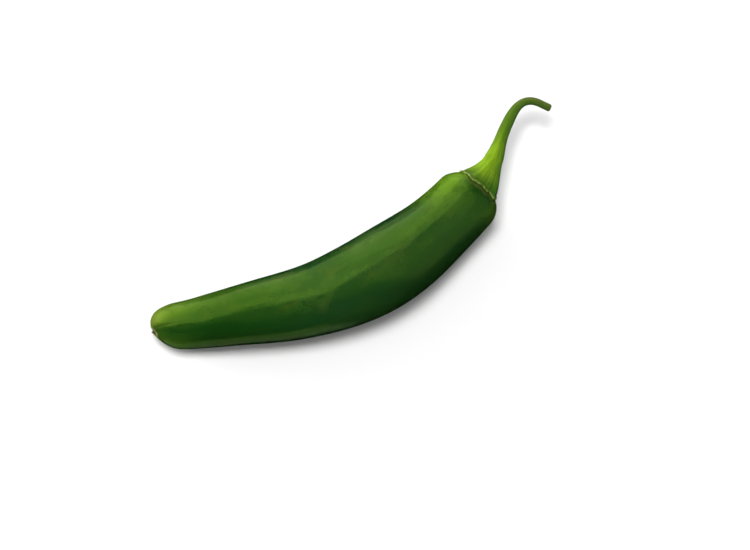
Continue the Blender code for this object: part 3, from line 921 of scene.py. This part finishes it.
class CHILLI_OT_calyx_stalk(bpy.types.Operator):
    """Makes the calyx on the fruit's shoulder and the hooked stalk that it narrows into, as one piece"""

    bl_idname = "chilli.make_calyx_and_stalk"
    bl_label = "Make Calyx and Stalk"

    def execute(self, context):
        sizes = context.scene.chilli_shape
        _, stalk, shift = forms()
        turn = math.tau * np.arange(sizes.stalk_columns) / sizes.stalk_columns

        def rings(number, start=0.0, end=1.0):
            """The places and angles of a block of rings."""
            return np.meshgrid(np.linspace(start, end, number), turn, indexing="ij")

        part, around = rings(UNDERSIDE_ROWS, UNDERSIDE_FROM)
        under = stalk.underside(part, around)
        edge_part, edge_around = (values[1:-1] for values in rings(EDGE_ROWS))
        edge = stalk.rim_edge(edge_part, edge_around)
        place, flare_around = rings(FLARE_ROWS)
        place = place**FLARE_CROWDING
        flare = stalk.flare(place, flare_around)
        body_end = stalk.length - stalk.cut_rounding
        body, body_around = rings(STEM_ROWS, FLARE_LENGTH, body_end)
        bend, bend_around = rings(BEND_ROWS)
        bend = body_end + stalk.cut_rounding * np.sin(bend * math.pi / 2)
        stem_along = np.concatenate([body[1:], bend[1:]])
        stem = stalk.stem(stem_along, np.concatenate([body_around[1:], bend_around[1:]]))
        cut_part, cut_around = (values[1:] for values in rings(CUT_ROWS, 0.0, CUT_TO))
        cut = stalk.cut(cut_part, cut_around)
        blocks = (under, edge, flare, stem, cut)
        points = np.concatenate(blocks) + shift

        def joined(*values):
            """One value for each point, from a number or an array for each block."""
            return np.concatenate([np.broadcast_to(value, block.shape[:2]) for value, block in zip(values, blocks)])

        along = joined((part - 1) * UNDERSIDE_LAID, 0, place * FLARE_LENGTH, stem_along, stalk.length)
        radius = np.interp(along, *(np.array(STRAIGHT_RADIUS).T * MM))
        straight = np.stack([radius * np.cos(turn), radius * np.sin(turn), along], -1)
        # The side where light is painted into the calyx and stalk's colour, with painted shade opposite
        lit = (1 + np.cos(turn - STALK_LIT_SIDE)) / 2
        knotted = KNOTS_LEAST + (1 - KNOTS_LEAST) * np.clip(stalk.knots(turn) / KNOTS_FULL, 0, 1)
        # The pale rim is its own colour, made stronger on the lit side by painted light and weaker opposite by painted
        # shade
        ridge = hump(place, RIDGE_TINT_WIDTH) * knotted * (RIDGE_IN_SHADE + (1 - RIDGE_IN_SHADE) * lit**2)
        ridge = ridge + FOLD_TINT * stalk.fold(place, flare_around)
        edge_tint = edge_part * (EDGE_IN_SHADE + EDGE_LIT_GAIN * lit**2)
        stain = eased((stem_along - stalk.length + CUT_STAIN) / CUT_STAIN)
        marks = {
            "lit": np.broadcast_to(lit, along.shape),
            "rim": joined(0, edge_tint, ridge, 0, 0),
            "under": joined(1, (1 - edge_part) ** 4, 0, 0, 0),
            "cut": joined(0, 0, 0, stain, 1),
        }
        piece = closed_grid("calyx_and_stalk_tissue", points, straight, marks)
        piece.data.materials.append(stalk_material(context.scene.chilli_stalk))
        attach(piece, "root")
        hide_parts("calyx_and_stalk")
        return {"FINISHED"}


def toward(azimuth, elevation):
    """The unit vector that points from the pepper to a place round and above it. Azimuth 0 is -Y, 90 degrees is +X."""
    level = math.cos(elevation)
    return Vector((math.sin(azimuth) * level, -math.cos(azimuth) * level, math.sin(elevation)))


def add_light(name, azimuth, elevation, distance, size, shown_in, radiance):
    """A rectangular light aimed at the pepper. Its power gives its face that radiance: pi times area times radiance."""
    data = bpy.data.lights.new(name, "AREA")
    data.shape = "RECTANGLE"
    data.size, data.size_y = size
    data.energy = math.pi * size[0] * size[1] * radiance
    light = in_scene(name, data)
    back = toward(math.radians(azimuth), math.radians(elevation))
    light.matrix_world = Matrix.Translation(back * distance) @ back.to_track_quat("Z", "Y").to_matrix().to_4x4()
    light.visible_camera = False
    light.visible_diffuse = shown_in == "diffuse"
    light.visible_glossy = shown_in == "gloss"


class CHILLI_OT_studio(bpy.types.Operator):
    """Makes the pale table, the soft lights and the camera"""

    bl_idname = "chilli.make_studio"
    bl_label = "Make Studio"

    def execute(self, context):
        look = context.scene.chilli_studio
        scene = context.scene
        scene.view_settings.view_transform = "Standard"
        world = bpy.data.worlds.new("soft_room")
        world.use_nodes = True
        background = world.node_tree.nodes["Background"]
        background.inputs["Color"].default_value = (1, 1, 1, 1)
        background.inputs["Strength"].default_value = look.sky_light
        world.cycles_visibility.glossy = False
        scene.world = world

        corners = [(x * TABLE_HALF, y * TABLE_HALF, 0) for x, y in ((-1, -1), (1, -1), (1, 1), (-1, 1))]
        mesh = bpy.data.meshes.new("table")
        mesh.from_pydata(corners, [], [(0, 1, 2, 3)])
        table = in_scene("table", mesh)
        finish = {"Base_Color": colour(look.floor_colour), "Roughness": 0.8, "Specular_IOR_Level": 0.1}
        mesh.materials.append(NodeBench("pale_table").finish(**finish))
        table.visible_glossy = False

        for name, *placing in LIGHTS:
            add_light(name, *placing, radiance=getattr(look, name))

        forward = -toward(look.azimuth, look.elevation)
        right = forward.cross(Vector((0, 0, 1))).normalized()
        up = right.cross(forward)
        lens = bpy.data.cameras.new("camera")
        lens.lens = LENS
        lens.clip_start, lens.clip_end = CLIP
        camera = in_scene("camera", lens)
        place = Vector((0, 0, AIM_HEIGHT)) - forward * look.distance + right * AIM_RIGHT * MM - up * AIM_DOWN * MM
        turned = Matrix((right, up, -forward)).transposed()
        camera.matrix_world = Matrix.Translation(place) @ turned.to_4x4()
        scene.camera = camera
        return {"FINISHED"}


class CHILLI_PT_sidebar(bpy.types.Panel):
    """The settings of the pepper and its studio, each group above its button"""

    bl_label = "Chilli Pepper"
    bl_space_type = "VIEW_3D"
    bl_region_type = "UI"
    bl_category = "Chilli"

    def draw(self, context):
        for settings, operator in zip(SETTINGS, (None, *OPERATORS)):
            group = getattr(context.scene, settings)
            box = self.layout.box()
            for name in group.bl_rna.properties.keys():
                if name not in ("name", "rna_type"):
                    box.prop(group, name)
            if operator:
                box.operator(operator.bl_idname)


SETTINGS = {
    "chilli_shape": ChilliShape,
    "chilli_skin": SkinLook,
    "chilli_stalk": StalkLook,
    "chilli_studio": StudioLook,
}
OPERATORS = (CHILLI_OT_fruit, CHILLI_OT_calyx_stalk, CHILLI_OT_studio)
CLASSES = (*SETTINGS.values(), *OPERATORS, CHILLI_PT_sidebar)


def register():
    for cls in CLASSES:
        bpy.utils.register_class(cls)
    for name, cls in SETTINGS.items():
        setattr(bpy.types.Scene, name, PointerProperty(type=cls))


def unregister():
    for name in SETTINGS:
        delattr(bpy.types.Scene, name)
    for cls in reversed(CLASSES):
        bpy.utils.unregister_class(cls)


def main():
    register()
    bpy.ops.chilli.make_studio()
    bpy.ops.chilli.make_fruit()
    bpy.ops.chilli.make_calyx_and_stalk()
    bpy.context.view_layer.update()


if __name__ == "__main__":
    main()
